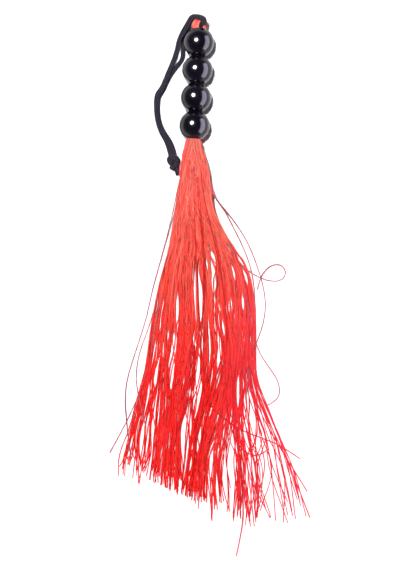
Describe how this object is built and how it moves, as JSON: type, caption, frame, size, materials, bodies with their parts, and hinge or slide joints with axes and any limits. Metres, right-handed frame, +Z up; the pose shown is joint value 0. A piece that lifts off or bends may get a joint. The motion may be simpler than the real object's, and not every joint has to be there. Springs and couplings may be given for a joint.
{
  "type": "bead-handled strand tassel",
  "caption": "Glossy ball beads threaded as a grip on a doubled bundle of thin rubber strands that fans out as a long tassel, with a braided wrist loop through the fold.",
  "frame": {"origin": "on the surface the part lies on, under the middle of the box of the grip and the tassel", "axes": "+Z up from the surface, +Y along the grip towards the fold and the wrist loop, +X to the right seen from above"},
  "size_m": [0.1556, 0.4225, 0.024],
  "materials": {
    "bead": "polished deep black, high gloss",
    "strand": "smooth satin red rubber filament",
    "wrist_cord": "soft flat black braid"
  },
  "bodies": {
    "grip_core": {"strand_core": "strand", "strand_fold": "strand", "wrist_cord_bight": "wrist_cord"},
    "bead_1": {"bead_1": "bead"},
    "bead_2": {"bead_2": "bead"},
    "bead_3": {"bead_3": "bead"},
    "bead_4": {"bead_4": "bead"},
    "wrist_loop": {"wrist_cord_leg_a": "wrist_cord", "wrist_cord_leg_b": "wrist_cord", "wrist_cord_knot": "wrist_cord", "wrist_cord_tail_long": "wrist_cord", "wrist_cord_tail_short": "wrist_cord"},
    "tassel_neck": {"strand_neck": "strand"},
    "tassel_section_1": {"strand_lock_01": "strand", "strand_lock_02": "strand", "strand_lock_03": "strand", "strand_lock_04": "strand", "stray_strand_left": "strand"},
    "tassel_section_2": {"strand_lock_05": "strand", "strand_lock_06": "strand", "strand_lock_07": "strand", "strand_lock_08": "strand"},
    "tassel_section_3": {"strand_lock_09": "strand", "strand_lock_10": "strand", "strand_lock_11": "strand", "strand_lock_12": "strand"},
    "tassel_section_4": {"strand_lock_13": "strand", "strand_lock_14": "strand", "strand_lock_15": "strand", "strand_lock_16": "strand"},
    "tassel_section_5": {"strand_lock_17": "strand", "strand_lock_18": "strand", "strand_lock_19": "strand", "strand_lock_20": "strand", "stray_strand_bottom": "strand"},
    "tassel_section_6": {"strand_lock_21": "strand", "strand_lock_22": "strand", "strand_lock_23": "strand", "strand_lock_24": "strand", "stray_strand_curl": "strand", "stray_strand_loop": "strand"}
  },
  "joints": [
    {"name": "bead_1_spin", "type": "hinge", "parent": "grip_core", "child": "bead_1", "pos_m": [-0.0267, 0.17322, 0.012], "axis": [0, 1, 0], "continuous": true},
    {"name": "bead_2_spin", "type": "hinge", "parent": "grip_core", "child": "bead_2", "pos_m": [-0.0267, 0.15147, 0.012], "axis": [0, 1, 0], "continuous": true},
    {"name": "bead_3_spin", "type": "hinge", "parent": "grip_core", "child": "bead_3", "pos_m": [-0.0267, 0.12973, 0.012], "axis": [0, 1, 0], "continuous": true},
    {"name": "bead_4_spin", "type": "hinge", "parent": "grip_core", "child": "bead_4", "pos_m": [-0.0267, 0.10798, 0.012], "axis": [0, 1, 0], "continuous": true},
    {"name": "wrist_loop_swing", "type": "hinge", "parent": "grip_core", "child": "wrist_loop", "pos_m": [-0.0367, 0.1846, 0.006], "axis": [0, 0, -1], "range_deg": [0, 90]},
    {"name": "tassel_sway", "type": "hinge", "parent": "grip_core", "child": "tassel_neck", "pos_m": [-0.0267, 0.09152, 0.012], "axis": [0, 0, 1], "range_deg": [-60, 60]},
    {"name": "section_1_lift", "type": "hinge", "parent": "tassel_neck", "child": "tassel_section_1", "pos_m": [-0.0247, 0.0746, 0.012], "axis": [-1, 0, 0], "range_deg": [0, 90]},
    {"name": "section_2_lift", "type": "hinge", "parent": "tassel_neck", "child": "tassel_section_2", "pos_m": [-0.0247, 0.0746, 0.012], "axis": [-1, 0, 0], "range_deg": [0, 90]},
    {"name": "section_3_lift", "type": "hinge", "parent": "tassel_neck", "child": "tassel_section_3", "pos_m": [-0.0247, 0.0746, 0.012], "axis": [-1, 0, 0], "range_deg": [0, 90]},
    {"name": "section_4_lift", "type": "hinge", "parent": "tassel_neck", "child": "tassel_section_4", "pos_m": [-0.0247, 0.0746, 0.012], "axis": [-1, 0, 0], "range_deg": [0, 90]},
    {"name": "section_5_lift", "type": "hinge", "parent": "tassel_neck", "child": "tassel_section_5", "pos_m": [-0.0247, 0.0746, 0.012], "axis": [-1, 0, 0], "range_deg": [0, 90]},
    {"name": "section_6_lift", "type": "hinge", "parent": "tassel_neck", "child": "tassel_section_6", "pos_m": [-0.0247, 0.0746, 0.012], "axis": [-1, 0, 0], "range_deg": [0, 90]}
  ]
}
